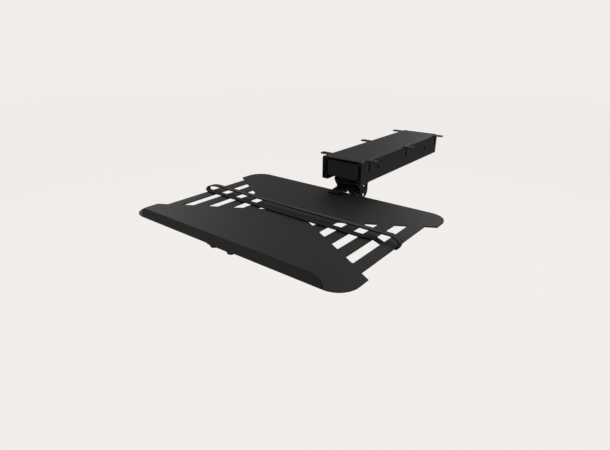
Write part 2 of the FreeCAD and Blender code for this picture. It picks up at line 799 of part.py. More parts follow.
def strap_section(x, y, z, slope):
    """The webbing's cross-section: its width lies along Y, and slope is its direction in XZ, in radians."""
    half = strap_width / 2
    off_x, off_z = -math.sin(slope) * strap_thickness / 2, math.cos(slope) * strap_thickness / 2
    corners = [Vector(x - off_x, y - half, z - off_z), Vector(x - off_x, y + half, z - off_z),
               Vector(x + off_x, y + half, z + off_z), Vector(x + off_x, y - half, z + off_z)]
    return Part.makePolygon(corners + corners[:1])


def strap_bend(outermost, upper_reach, lower_reach, low_y, low_z, lead):
    """Sections down a rounded end, while the webbing moves forward from the upper run."""
    top_z = strap_upper_z
    half_z = (top_z - low_z) / 2
    sections = []
    for step in range(2 * strap_bend_steps + 1):
        angle = math.radians(90 - 90 * step / strap_bend_steps)
        reach = upper_reach if angle > 0 else lower_reach
        x = outermost - reach * (1 - math.cos(angle))
        share = (1 - math.sin(angle)) / 2
        y = strap_y + (low_y - strap_y) * share ** lead
        slope = math.atan2(-half_z * math.cos(angle), reach * math.sin(angle))
        sections.append(strap_section(x, y, top_z + (low_z - top_z) * share, slope))
    return sections


def strap_half(sections):
    """A solid from the middle of the upper run, through the given sections, to the middle of the lower run."""
    upper = strap_section(0, strap_y, strap_upper_z, 0)
    lower = strap_section(0, strap_lower_y, strap_lower_z, -math.pi)
    return Part.makeLoft([upper] + sections + [lower], True, True)


def make_laptop_strap():
    outermost = tray_rail_half_width + strap_rail_clearance + strap_thickness / 2
    right = strap_bend(outermost, strap_upper_bend, strap_lower_bend, strap_under_y, strap_under_z,
                       strap_lead)
    right.append(strap_section(strap_slot_end, strap_under_y, strap_under_z, -math.pi))
    right.append(strap_section(strap_slot_start, strap_under_y, strap_lower_z, -math.pi))
    right.append(strap_section(strap_straight_end, strap_lower_y, strap_lower_z, -math.pi))
    left = strap_bend(tray_rail_half_width + strap_free_reach, strap_free_bend, strap_free_bend,
                      strap_lower_y, strap_lower_z, 1.0)
    return fuse([strap_half(right), mirrored(strap_half(left))])


# Tilt lock lever

def make_lock_lever():
    """A hub on the tilt pin, a neck that passes the tray's rear edge and a foot turned to the right."""
    x0, x1 = lever_left, lever_left + lever_width
    neck_top = tilt_z + lever_neck_rise + lever_sheet
    neck_bottom = neck_top - lever_sheet
    step_back = tray_rear + lever_step_y + lever_step
    step_front = tray_rear + lever_step_y
    end = swivel_y - lever_reach
    profile = [(swivel_y, neck_bottom), (step_back, neck_bottom), (step_front, neck_bottom + lever_step),
               (end, neck_bottom + lever_step), (end, neck_top + lever_step), (step_front, neck_top + lever_step),
               (step_back, neck_top), (swivel_y, neck_top)]
    hub = cross_rod(x0, x1, swivel_y, tilt_z, lever_hub_radius)
    foot = box(x0, lever_foot_right, end, end + grip_length - 2 * grip_margin,
               neck_bottom + lever_step, neck_top + lever_step)
    lever = fuse([hub, prism_x(profile, x0, x1), foot])
    return lever.cut(cross_rod(x0 - 1, x1 + 1, swivel_y, tilt_z, tilt_pin_radius + running_gap))


def make_lever_grip():
    """A moulded pad over the lever's foot."""
    x0, x1 = lever_left - grip_margin, lever_foot_right + grip_margin
    y0 = swivel_y - lever_reach - grip_margin
    y1 = y0 + grip_length
    foot_bottom = tilt_z + lever_neck_rise + lever_step
    z0 = tray_top + seat_gap
    pad = box(x0, x1, y0, y1, z0, z0 + grip_thickness)
    pad = pad.makeFillet(grip_corner, edges_along(pad, Vector(0, 0, 1), lambda point: True))
    upper = [edge for edge in pad.Edges if abs(edge.CenterOfMass.z - z0 - grip_thickness) < 0.01]
    pad = pad.makeFillet(grip_edge, upper)
    pocket = box(lever_left, lever_foot_right, swivel_y - lever_reach, y1 + 1,
                 foot_bottom, foot_bottom + lever_sheet)
    side = box(lever_left + lever_width, x1 + 1, y1 - grip_margin, y1 + 1, foot_bottom, foot_bottom + lever_sheet)
    return pad.cut(pocket.cut(side))


def write(name, shape):
    shape.exportStep("parts/" + name + ".step")
    print(name, "solids", len(shape.Solids), "valid", shape.isValid(), "volume", round(shape.Volume, 1))


def main():
    os.makedirs("parts", exist_ok=True)
    outer, inner, cage, balls = make_outer_slide(), make_inner_slide(), make_ball_cage(), make_slide_balls()
    parts = {
        "rail_housing": make_rail_housing(),
        "outer_slide_right": outer,
        "outer_slide_left": mirrored(outer),
        "slide_wall_screws": make_wall_screws(),
        "slide_stop_buffers": make_stop_buffers(),
        "ball_cage_right": cage,
        "ball_cage_left": mirrored(cage),
        "slide_balls_right": balls,
        "slide_balls_left": mirrored(balls),
        "inner_slide_right": inner,
        "inner_slide_left": mirrored(inner),
        "carriage_channel": make_carriage_channel(),
        "carriage_front_plate": make_front_plate(),
        "carriage_screws": make_carriage_screws(),
        "swivel_boss": make_swivel_boss(),
        "turntable_plate": make_turntable_plate(),
        "turntable_screws": make_turntable_screws(),
        "swivel_thrust_ring": make_thrust_ring(),
        "swivel_disc": make_swivel_disc(),
        "tilt_fork": make_tilt_fork(),
        "swivel_bolt": make_swivel_bolt(),
        "swivel_spring_washers": make_swivel_spring_washers(),
        "swivel_nut": make_swivel_nut(),
        "tilt_pin": make_tilt_pin(),
        "tilt_nut": make_tilt_nut(),
        "tilt_outer_washer": make_tilt_outer_washer(),
        "tilt_friction_washers": make_friction_washers(),
        "tilt_spacer_sleeves": make_spacer_sleeves(),
        "tray_plate": make_tray_plate(),
        "tray_arm": make_tray_arm(),
        "tray_studs": make_tray_studs(),
        "tray_nuts": make_tray_nuts(),
        "laptop_strap": make_laptop_strap(),
        "tilt_lock_lever": make_lock_lever(),
        "lever_grip": make_lever_grip(),
    }
    for name, shape in parts.items():
        write(name, shape)


main()
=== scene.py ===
import json
import math

import bpy
import bmesh
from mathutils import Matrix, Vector


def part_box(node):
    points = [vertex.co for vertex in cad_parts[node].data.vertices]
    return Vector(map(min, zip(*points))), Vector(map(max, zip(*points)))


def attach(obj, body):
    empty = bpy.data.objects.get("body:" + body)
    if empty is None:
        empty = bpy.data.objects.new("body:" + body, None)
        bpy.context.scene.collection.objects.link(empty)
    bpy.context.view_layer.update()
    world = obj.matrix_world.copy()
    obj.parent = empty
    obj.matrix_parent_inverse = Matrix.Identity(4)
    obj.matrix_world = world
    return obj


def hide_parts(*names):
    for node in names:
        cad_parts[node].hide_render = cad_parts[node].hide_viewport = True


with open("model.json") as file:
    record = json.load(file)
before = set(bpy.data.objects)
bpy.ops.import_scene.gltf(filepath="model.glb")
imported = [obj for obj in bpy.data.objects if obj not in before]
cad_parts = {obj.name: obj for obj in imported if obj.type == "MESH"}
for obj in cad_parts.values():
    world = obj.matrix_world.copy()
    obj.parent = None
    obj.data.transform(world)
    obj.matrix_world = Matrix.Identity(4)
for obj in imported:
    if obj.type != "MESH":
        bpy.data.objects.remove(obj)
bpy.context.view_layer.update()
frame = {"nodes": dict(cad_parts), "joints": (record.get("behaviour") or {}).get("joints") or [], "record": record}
nodes = frame["nodes"]
pivots = {joint["name"]: joint.get("pos_m") for joint in frame["joints"]}
print("frame loaded:", len(nodes), "nodes")


# Shader maths: an expression on values adds its Math nodes

class Value:
    def __init__(self, tree, socket):
        self.tree = tree
        self.socket = socket

    def join(self, operation, first, second):
        return self.tree.add("ShaderNodeMath", {"operation": operation}, [first, second])

    def __add__(self, other):
        return self.join("ADD", self, other)

    def __radd__(self, other):
        return self.join("ADD", other, self)

    def __sub__(self, other):
        return self.join("SUBTRACT", self, other)

    def __rsub__(self, other):
        return self.join("SUBTRACT", other, self)

    def __mul__(self, other):
        return self.join("MULTIPLY", self, other)

    def __rmul__(self, other):
        return self.join("MULTIPLY", other, self)


# Adds nodes to one material, world or geometry tree

class NodeTree:
    def __init__(self, tree):
        self.tree = tree

    # One node: its settings first, then the values or links of its sockets
    def add(self, kind, settings=None, values=None, output=0):
        node = self.tree.nodes.new(kind)
        for name, setting in (settings or {}).items():
            setattr(node, name, setting)
        pairs = values.items() if isinstance(values, dict) else enumerate(values or [])
        for key, value in pairs:
            if isinstance(value, Value):
                self.tree.links.new(value.socket, node.inputs[key])
            else:
                node.inputs[key].default_value = value
        return Value(self, node.outputs[output]) if len(node.outputs) else None


def newFinish(name):
    material = bpy.data.materials.new(name)
    material.use_nodes = True
    material.node_tree.nodes.clear()
    return material, NodeTree(material.node_tree)


def closeFinish(material, tree, inputs):
    surface = tree.add("ShaderNodeBsdfPrincipled", None, inputs)
    tree.add("ShaderNodeOutputMaterial", None, {"Surface": surface})
    return material


mixSockets = {"factor": 0, "first": 6, "second": 7, "mixed": 2}  # of a Mix node set to colours


def mixColours(tree, factor, first, second):
    given = {mixSockets["factor"]: factor, mixSockets["first"]: first, mixSockets["second"]: second}
    return tree.add("ShaderNodeMix", {"data_type": "RGBA"}, given, mixSockets["mixed"])


def grey(level):
    return (level, level, level, 1)


# A grey that wanders between two shares of its level
def mottled(tree, pattern, level, look):
    return mixColours(tree, pattern, grey(level * look["darkest"]), grey(level * look["palest"]))


# A pattern from 0 to 1, brought to plus or minus half a width
def centred(pattern, width):
    return (pattern - 0.5) * width


def objectPlace(tree):
    return tree.add("ShaderNodeTexCoord", None, None, "Object")


def noise(tree, place, perMetre, detail, roughness=0.5):
    return tree.add("ShaderNodeTexNoise", None,
                    {"Vector": place, "Scale": perMetre, "Detail": detail, "Roughness": roughness})


def bump(tree, strength, distance, height, **under):
    return tree.add("ShaderNodeBump", None,
                    {"Strength": strength, "Distance": distance, "Height": height, **under})


# Finishes

powderLook = {
    "grainPerMetre": 1700, "grainDetail": 3.0, "grainRoughness": 0.6, "grainShare": 0.4,
    "grainStrength": 0.6, "grainHeight": 0.00005, "grainSpread": 0.12,
    "peelPerMetre": 300, "peelDetail": 2.0, "peelStrength": 0.5, "peelHeight": 0.00004,
    "patchPerMetre": 9, "patchDetail": 5.0, "patchRoughness": 0.55, "patchShare": 0.6,
    "patchSpread": 0.10, "darkest": 0.75, "palest": 1.25,
}


# Fine-textured powder coat: grain over orange peel, with faint handling patches
def powderCoat(name, level, rough, gloss=0.5):
    look = powderLook
    material, tree = newFinish(name)
    place = objectPlace(tree)
    grain = noise(tree, place, look["grainPerMetre"], look["grainDetail"], look["grainRoughness"])
    peel = noise(tree, place, look["peelPerMetre"], look["peelDetail"])
    patch = noise(tree, place, look["patchPerMetre"], look["patchDetail"], look["patchRoughness"])
    colour = mottled(tree, patch * look["patchShare"] + grain * look["grainShare"], level, look)
    roughness = centred(patch, look["patchSpread"]) + centred(grain, look["grainSpread"]) + rough
    low = bump(tree, look["peelStrength"], look["peelHeight"], peel)
    normal = bump(tree, look["grainStrength"], look["grainHeight"], grain, Normal=low)
    return closeFinish(material, tree, {"Base Color": colour, "Roughness": roughness,
                                        "Normal": normal, "Specular IOR Level": gloss})


steelLook = {
    "stretch": (1.0, 0.04, 1.0), "linesPerMetre": 2200, "lineDetail": 2.0, "lineShare": 0.5,
    "lineStrength": 0.3, "lineHeight": 0.00003, "patchPerMetre": 40, "patchDetail": 4.0,
    "patchShare": 0.5, "spread": 0.15, "darkest": 0.8, "palest": 1.2,
}


# Rolled or drawn steel: fine lines along the length, with a patchy plating
def drawnSteel(name, level, rough, metallic):
    look = steelLook
    material, tree = newFinish(name)
    place = objectPlace(tree)
    stretched = tree.add("ShaderNodeMapping", None, {"Vector": place, "Scale": look["stretch"]})
    lines = noise(tree, stretched, look["linesPerMetre"], look["lineDetail"])
    patch = noise(tree, place, look["patchPerMetre"], look["patchDetail"])
    colour = mottled(tree, lines * look["lineShare"] + patch * look["patchShare"], level, look)
    roughness = centred(lines, look["spread"]) + centred(patch, look["spread"]) + rough
    normal = bump(tree, look["lineStrength"], look["lineHeight"], lines)
    return closeFinish(material, tree, {"Base Color": colour, "Roughness": roughness,
                                        "Normal": normal, "Metallic": metallic})


mouldedLook = {
    "patchPerMetre": 60, "patchDetail": 4.0, "patchShare": 0.7, "patchSpread": 0.2,
    "grainShare": 0.3, "grainSpread": 0.1, "grainStrength": 0.5, "darkest": 0.8, "palest": 1.2,
}


# Moulded plastic or rubber with a spark-eroded skin
def mouldedPlastic(name, level, rough, grainPerMetre, grainHeight, gloss=0.5):
    look = mouldedLook
    material, tree = newFinish(name)
    place = objectPlace(tree)
    grain = tree.add("ShaderNodeTexVoronoi", None, {"Vector": place, "Scale": grainPerMetre})
    patch = noise(tree, place, look["patchPerMetre"], look["patchDetail"])
    colour = mottled(tree, patch * look["patchShare"] + grain * look["grainShare"], level, look)
    roughness = centred(patch, look["patchSpread"]) + centred(grain, look["grainSpread"]) + rough
    normal = bump(tree, look["grainStrength"], grainHeight, grain)
    return closeFinish(material, tree, {"Base Color": colour, "Roughness": roughness,
                                        "Normal": normal, "Specular IOR Level": gloss})


# Metres along the strap and round its section; a face has its own grey from its From to its To,
# and what lies outside both is the selvedge, painted near black as shade on the strap's edges
webbingLook = {
    # outer is a painted sheen on black webbing, inner is partly painted shade, the selvedge grey is painted shade
    "outer": 0.10, "inner": 0.018, "shadedSelvedge": 0.004, "darkest": 0.7, "palest": 1.25,
    "outerFrom": 0.0002, "outerTo": 0.007, "innerFrom": 0.0121, "innerTo": 0.0202,
    "pickLength": 0.0011, "slant": 3000, "pickShare": 0.6, "pickStrength": 0.7,
    "pickHeight": 0.0002, "fuzzPerMetre": 2500, "fuzzDetail": 2.0, "fuzzShare": 0.4,
    "fuzzRise": 0.5, "fuzzSpread": 0.2, "rough": 0.8,
}


def between(tree, place, low, high):
    above = tree.add("ShaderNodeMath", {"operation": "GREATER_THAN"}, [place, low])
    return tree.add("ShaderNodeMath", {"operation": "LESS_THAN"}, [place, high]) * above


# Elastic webbing on the strap's own UV: slanted picks and fuzzy yarn on black webbing. The outer face
# is paler as a painted sheen of the back light, the inner face darker, partly its own tone and partly
# painted shade under the upper run, and both selvedges dark as painted shade
def wovenWebbing(name):
    look = webbingLook
    material, tree = newFinish(name)
    laid = tree.add("ShaderNodeUVMap", {"uv_map": "alongStrap"})
    along = tree.add("ShaderNodeSeparateXYZ", None, {"Vector": laid}, "X")
    around = tree.add("ShaderNodeSeparateXYZ", None, {"Vector": laid}, "Y")
    slanted = along * (math.tau / look["pickLength"]) + around * look["slant"]
    pick = tree.add("ShaderNodeMath", {"operation": "SINE"}, [slanted]) * 0.5 + 0.5
    fuzz = noise(tree, laid, look["fuzzPerMetre"], look["fuzzDetail"])
    yarn = pick * look["pickShare"] + fuzz * look["fuzzShare"]
    # The selvedge grey is painted shade on the strap's edges
    colour = grey(look["shadedSelvedge"])
    for face in ("outer", "inner"):
        onFace = between(tree, around, look[face + "From"], look[face + "To"])
        colour = mixColours(tree, onFace, colour, mottled(tree, yarn, look[face], look))
    roughness = centred(fuzz, look["fuzzSpread"]) + look["rough"]
    normal = bump(tree, look["pickStrength"], look["pickHeight"], pick + fuzz * look["fuzzRise"])
    return closeFinish(material, tree, {"Base Color": colour, "Roughness": roughness,
                                        "Normal": normal})


finishes = {
    "housing": powderCoat("housingCoat", level=0.018, rough=0.52),
    "plate": powderCoat("plateCoat", level=0.02, rough=0.6),
    "hinge": powderCoat("hingeCoat", level=0.005, rough=0.55, gloss=0.4),
    # A darker copy of a coat for the tray arm: painted shade from the hinge above it
    "arm": powderCoat("armShadedCoat", level=0.006, rough=0.6, gloss=0.25),
    "tray": powderCoat("trayCoat", level=0.017, rough=0.52),
    "lever": powderCoat("leverCoat", level=0.005, rough=0.5, gloss=0.4),
    "slide": drawnSteel("slideSteel", level=0.09, rough=0.42, metallic=0.1),
    "cage": drawnSteel("cageSteel", level=0.2, rough=0.4, metallic=0.9),
    "ball": drawnSteel("ballSteel", level=0.55, rough=0.18, metallic=1.0),
    "fastener": drawnSteel("fastenerSteel", level=0.006, rough=0.45, metallic=0.0),
    "bright": drawnSteel("brightSteel", level=0.4, rough=0.35, metallic=1.0),
    "nylon": mouldedPlastic("nylonSkin", level=0.03, rough=0.5, grainPerMetre=900,
                            grainHeight=0.00003),
    "rubber": mouldedPlastic("rubberSkin", level=0.015, rough=0.75, grainPerMetre=1400,
                             grainHeight=0.00005),
    "grip": mouldedPlastic("gripSkin", level=0.003, rough=0.6, grainPerMetre=1600,
                           grainHeight=0.00006, gloss=0.3),
    # A darker plastic for the spacer sleeves: painted shade from the hinge around them
    "sleeve": mouldedPlastic("sleeveShadedSkin", level=0.004, rough=0.6, grainPerMetre=900,
                             grainHeight=0.00003, gloss=0.15),
    "webbing": wovenWebbing("strapWebbing"),
}

finishOfSlot = {
    "housing_coat": "housing", "plate_coat": "plate", "hinge_coat": "hinge", "tray_coat": "tray",
    "lever_coat": "lever", "slide_steel": "slide", "cage_steel": "cage", "ball_steel": "ball",
    "black_fasteners": "fastener", "bright_fasteners": "bright", "nylon": "nylon",
    "buffer_rubber": "rubber", "strap_webbing": "webbing", "grip_plastic": "grip",
}

# Pieces in the shade of the hinge, darker than the rest of their slot
finishOfNode = {"tray_arm": "arm", "tilt_spacer_sleeves": "sleeve"}

for entry in frame["record"]["subparts"]:
    mesh = nodes[entry["node"]].data
    mesh.materials.clear()
    chosen = finishOfNode.get(entry["node"], finishOfSlot[entry["material_slot"]])
    mesh.materials.append(finishes[chosen])
print("finishes set on the steel and plastic pieces")


# Meshes

smoothBelow = 35  # degrees between two faces that still shade as one


def addObject(name, data):
    item = bpy.data.objects.new(name, data)
    bpy.context.scene.collection.objects.link(item)
    return item


def shade(mesh, softBelow):
    mesh.shade_smooth()
    mesh.set_sharp_from_angle(angle=math.radians(softBelow))


def newPiece(name, points, faces, softBelow=smoothBelow):
    mesh = bpy.data.meshes.new(name)
    mesh.from_pydata([tuple(point) for point in points], [], faces)
    mesh.update()
    shade(mesh, softBelow)
    return addObject(name, mesh)


# The plain mesh that an object's modifiers make
def finishedMesh(item):
    bpy.context.view_layer.update()
    seen = item.evaluated_get(bpy.context.evaluated_depsgraph_get())
    return bpy.data.meshes.new_from_object(seen)


# A grid of rings joined into one skin; open rings are capped at both ends
def ringSkin(rings, closed):
    count = len(rings[0])
    points = [point for ring in rings for point in ring]
    faces = []
    steps = len(rings) if closed else len(rings) - 1
    for row in range(steps):
        low, high = row * count, (row + 1) % len(rings) * count
        for number in range(count):
            after = (number + 1) % count
            faces.append((low + number, low + after, high + after, high + number))
    if not closed:
        faces.append(tuple(reversed(range(count))))
        faces.append(tuple(range(len(points) - count, len(points))))
    return points, faces


def onCircle(radius, angle, height):
    return (radius * math.cos(angle), radius * math.sin(angle), height)


# A turned form about +Z from (radius, height) pairs, lowest first
def turned(profile, sides=40):
    return ringSkin([[onCircle(radius, math.tau * step / sides, height) for step in range(sides)]
                     for radius, height in profile], False)


# Cuts a cutter from a target or joins it on; the cutter is used up
def addBoolean(target, cutter, operation):
    modifier = target.modifiers.new(operation, "BOOLEAN")
    modifier.object = cutter
    modifier.operation = operation
    modifier.solver = "EXACT"
    mesh = finishedMesh(target)
    target.modifiers.clear()
    target.data = mesh
    shade(mesh, smoothBelow)
    bpy.data.objects.remove(cutter)
    return target


# Shares of a screw's own sizes, and the steps of its dome in degrees
screwShape = {
    "edge": 0.35, "crown": 0.65, "dome": (0, 20, 40, 58, 72, 84), "tipWidth": 0.7, "tipLength": 0.3,
    "recessWidth": 0.17, "recessTaper": 0.55, "recessFloor": 0.35, "recessMouth": 1.05,
}


# Pan-head screw with a cross recess: head up along +Z from the seat at zero, shank down
def panHeadScrew(name, look):
    shape = screwShape
    head, height, shank, length = look["head"], look["height"], look["shank"], look["length"]
    dome = [(head * math.cos(angle), height * (shape["edge"] + shape["crown"] * math.sin(angle)))
            for angle in [math.radians(step) for step in shape["dome"]]]
    profile = [(shank * shape["tipWidth"], -length), (shank, -length + shape["tipLength"] * shank),
               (shank, 0.0), (head, 0.0)] + dome
    screw = newPiece(name, *turned(profile))
    arm, taper = look["recess"], shape["recessTaper"]
    half = arm * shape["recessWidth"]
    across = [(-arm, -half), (arm, -half), (arm, half), (-arm, half)]
    for corners in (across, [(-y, x) for x, y in across]):
        deep = [(x * taper, y * taper, height * shape["recessFloor"]) for x, y in corners]
        wide = [(x, y, height * shape["recessMouth"]) for x, y in corners]
        addBoolean(screw, newPiece(name + "Recess", *ringSkin([deep, wide], False)), "DIFFERENCE")
    return screw


# A thread's facets, its share of the full depth at the start, and how far its end is drawn in
threadShape = {"sides": 24, "rowsPerTurn": 8, "softBelow": 75, "startDepth": 0.3, "endInset": 0.3}


# A rolled thread along +Z from zero to its length
def threadedRod(name, look):
    shape, sides = threadShape, threadShape["sides"]
    pitch, depth, length = look["pitch"], look["depth"], look["length"]
    rings = []
    count = int(length / pitch * shape["rowsPerTurn"])
    for row in range(count + 1):
        height = length * row / count
        fade = min(1.0, (length - height) / pitch, height / pitch + shape["startDepth"])
        ring = []
        for step in range(sides):
            phase = (height / pitch + step / sides) % 1.0
            reach = (look["radius"] - depth * abs(2 * phase - 1) * fade
                     - shape["endInset"] * depth * (1 - fade))
            ring.append(onCircle(reach, math.tau * step / sides, height))
        rings.append(ring)
    return newPiece(name, *ringSkin(rings, False), softBelow=shape["softBelow"])


# A nut's facets, the shares of its chamfer and flange, and how far its bore is cut past it
nutShape = {
    "sides": 48, "softBelow": 20, "chamferRise": 0.5, "flangeEdge": 0.45, "flangeTop": 1.5,
    "neck": 0.5, "past": 0.001,
}


# A chamfered hexagon nut from zero to its height, with an optional round flange at the bottom
def hexNut(name, look):
    shape, sides = nutShape, nutShape["sides"]
    flats, height = look["flats"], look["height"]
    corner = flats / math.sqrt(3)
    chamfer = corner - flats / 2
    rise = chamfer * shape["chamferRise"]
    rings = []
    for level, shrink in ((0.0, chamfer), (rise, 0.0), (height - rise, 0.0), (height, chamfer)):
        ring = []
        for step in range(sides):
            angle = math.tau * step / sides
            face = (angle + math.pi / 6) % (math.pi / 3) - math.pi / 6
            ring.append(onCircle(min(flats / 2 / math.cos(face), corner - shrink), angle, level))
        rings.append(ring)
    nut = newPiece(name, *ringSkin(rings, False), softBelow=shape["softBelow"])
    if look["flange"]:
        rim = look["flangeHeight"]
        profile = [(look["flange"], 0.0), (look["flange"], rim * shape["flangeEdge"]),
                   (flats * shape["neck"], rim * shape["flangeTop"])]
        addBoolean(nut, newPiece(name + "Flange", *turned(profile)), "UNION")
    past = shape["past"]
    bore = newPiece(name + "Bore", *turned([(look["bore"], -past), (look["bore"], height + past)]))
    return addBoolean(nut, bore, "DIFFERENCE")


# Repeats

repeatSeed = 11
repeatInputs = {
    "Spots": "NodeSocketGeometry", "Source": "NodeSocketObject", "Spin": "NodeSocketFloat",
    "Seed": "NodeSocketInt", "Finish": "NodeSocketMaterial",
}
randomSockets = {"least": 2, "most": 3, "number": 1}  # of a Random Value node set to numbers


def buildRepeatTree():
    tree = bpy.data.node_groups.new("repeatPieces", "GeometryNodeTree")
    for name, kind in repeatInputs.items():
        tree.interface.new_socket(name, in_out="INPUT", socket_type=kind)
    tree.interface.new_socket("Pieces", in_out="OUTPUT", socket_type="NodeSocketGeometry")
    nodeTree = NodeTree(tree)
    spots, source, spin, seed, finish = [nodeTree.add("NodeGroupInput", None, None, name)
                                         for name in repeatInputs]
    instance = nodeTree.add("GeometryNodeObjectInfo", None,
                            {"Object": source, "As Instance": True}, "Geometry")
    turn = nodeTree.add("GeometryNodeInputNamedAttribute", {"data_type": "FLOAT_VECTOR"},
                        {"Name": "turn"})
    placed = nodeTree.add("GeometryNodeInstanceOnPoints", None,
                          {"Points": spots, "Instance": instance, "Rotation": turn})
    given = {randomSockets["least"]: 0.0, randomSockets["most"]: spin, "Seed": seed}
    angle = nodeTree.add("FunctionNodeRandomValue", {"data_type": "FLOAT"}, given,
                         randomSockets["number"])
    about = nodeTree.add("ShaderNodeCombineXYZ", None, {"Z": angle})
    spun = nodeTree.add("GeometryNodeRotateInstances", None,
                        {"Instances": placed, "Rotation": about, "Local Space": True})
    real = nodeTree.add("GeometryNodeRealizeInstances", None, {"Geometry": spun})
    painted = nodeTree.add("GeometryNodeSetMaterial", None, {"Geometry": real, "Material": finish})
    nodeTree.add("NodeGroupOutput", None, {"Pieces": painted})
    return tree


repeatTree = buildRepeatTree()


# Copies of a source at each (place, turn), as one plain mesh; the source is used up
def repeatPiece(name, source, spots, finish, spin=0.0):
    mesh = bpy.data.meshes.new(name + "Spots")
    mesh.from_pydata([place for place, turn in spots], [], [])
    turns = mesh.attributes.new("turn", "FLOAT_VECTOR", "POINT")
    for number, (place, turn) in enumerate(spots):
        turns.data[number].vector = turn
    holder = addObject(name + "Spots", mesh)
    modifier = holder.modifiers.new("repeat", "NODES")
    modifier.node_group = repeatTree
    given = {"Source": source, "Spin": spin, "Seed": repeatSeed, "Finish": finishes[finish]}
    for item in repeatTree.interface.items_tree:
        if item.name in given:
            modifier[item.identifier] = given[item.name]
    piece = addObject(name, finishedMesh(holder))
    piece.data.name = name
    holder.modifiers.clear()
    bpy.data.objects.remove(holder)
    bpy.data.objects.remove(source)
    return piece


def settle(piece, body, slot, *replaced):
    if not piece.data.materials:
        piece.data.materials.append(finishes[finishOfSlot[slot]])
    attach(piece, body)
    for node in replaced:
        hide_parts(node)


# Screws, as on the solids: heads outside the walls, inside the carriage and on top of its floor

upright = (0.0, 0.0, 0.0)
facingRight = (0.0, math.pi / 2, 0.0)
facingLeft = (0.0, -math.pi / 2, 0.0)
facingDown = (math.pi, 0.0, 0.0)

screwLook = {
    "wall": {"head": 0.0035, "height": 0.0024, "shank": 0.002, "length": 0.0032,
             "recess": 0.0021, "apart": 0.204},
    "carriage": {"head": 0.0035, "height": 0.002, "shank": 0.002, "length": 0.0032,
                 "recess": 0.0021, "apart": 0.19},
    "turntable": {"head": 0.0035, "height": 0.0022, "shank": 0.002, "length": 0.0095,
                  "recess": 0.0021, "circle": 0.020, "count": 4},
}


# Two screws in a left and a right wall, about the middle of the node that they replace; outside is
# how far that node reaches past their seats
def sideSpots(node, apart, outside, onRight, onLeft):
    low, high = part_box(node)
    middle = (low + high) / 2
    return [((side * (high.x - outside), middle.y + end * apart / 2, middle.z), turn)
            for side, turn in ((1, onRight), (-1, onLeft)) for end in (-1, 1)]


# Screws in a ring about the swivel's pivot, halfway between its axes
def floorSpots(look):
    centre = pivots["swivel"]
    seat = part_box("turntable_screws")[1].z - look["height"]
    spots = []
    for number in range(look["count"]):
        x, y, z = onCircle(look["circle"], math.tau * (number + 0.5) / look["count"], seat)
        spots.append(((centre[0] + x, centre[1] + y, z), upright))
    return spots


def buildScrews():
    wall, inner, floor = screwLook["wall"], screwLook["carriage"], screwLook["turntable"]
    spots = sideSpots("slide_wall_screws", wall["apart"], wall["height"], facingRight, facingLeft)
    screws = repeatPiece("wallScrews", panHeadScrew("wallScrew", wall), spots, "fastener", math.pi)
    settle(screws, "housing", "black_fasteners", "slide_wall_screws")
    spots = sideSpots("carriage_screws", inner["apart"], inner["length"], facingLeft, facingRight)
    screws = repeatPiece("carriageScrews", panHeadScrew("carriageScrew", inner), spots, "fastener",
                         math.pi)
    settle(screws, "carriage", "black_fasteners", "carriage_screws")
    screws = repeatPiece("turntableScrews", panHeadScrew("turntableScrew", floor),
                         floorSpots(floor), "fastener", math.pi)
    settle(screws, "carriage", "black_fasteners", "turntable_screws")


buildScrews()
print("screws placed")


# Studs and nuts under the tray, and the two pivot nuts

# Rows hold half the gap across and the place in Y of each pair of studs
nutLook = {
    "tray": {"flats": 0.010, "height": 0.0045, "flange": 0.007, "flangeHeight": 0.0016,
             "bore": 0.0029},
    "swivel": {"flats": 0.016, "height": 0.008, "flange": 0.0, "bore": 0.0049},
    "tilt": {"flats": 0.010, "height": 0.004, "flange": 0.0, "bore": 0.0029},
    "stud": {"radius": 0.003, "pitch": 0.001, "depth": 0.0005, "length": 0.00825},
    "rows": ((0.017, -0.45375), (0.009, -0.3375), (0.009, -0.2035)),
}


# Spots under the tray, from the top of the node that is replaced
def traySpots(node):
    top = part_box(node)[1].z
    return [((side * half, y, top), facingDown)
            for half, y in nutLook["rows"] for side in (-1, 1)]


def buildStudsAndNuts():
    nuts = repeatPiece("trayNuts", hexNut("trayNut", nutLook["tray"]), traySpots("tray_nuts"),
                       "fastener", math.pi / 3)
    settle(nuts, "tray", "black_fasteners", "tray_nuts")
    studs = repeatPiece("trayStuds", threadedRod("trayStud", nutLook["stud"]),
                        traySpots("tray_studs"), "fastener", math.tau)
    settle(studs, "tray", "black_fasteners", "tray_studs")
    place = (*pivots["swivel"][:2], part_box("swivel_nut")[0].z)
    nut = repeatPiece("swivelNut", hexNut("swivelNutSource", nutLook["swivel"]),
                      [(place, upright)], "bright")
    settle(nut, "swivel_head", "bright_fasteners", "swivel_nut")
    place = (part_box("tilt_nut")[1].x, *pivots["tilt"][1:])
    nut = repeatPiece("tiltNut", hexNut("tiltNutSource", nutLook["tilt"]),
                      [(place, facingLeft)], "fastener")
    settle(nut, "swivel_head", "black_fasteners", "tilt_nut")


buildStudsAndNuts()
print("studs and nuts placed")


# Ribs on the lever's grip

gripLook = {
    "length": 0.019, "width": 0.0011, "rise": 0.0004, "pitch": 0.0022, "count": 5,
    "endScale": 0.4, "sunk": 0.0002, "roundSteps": 8,
}


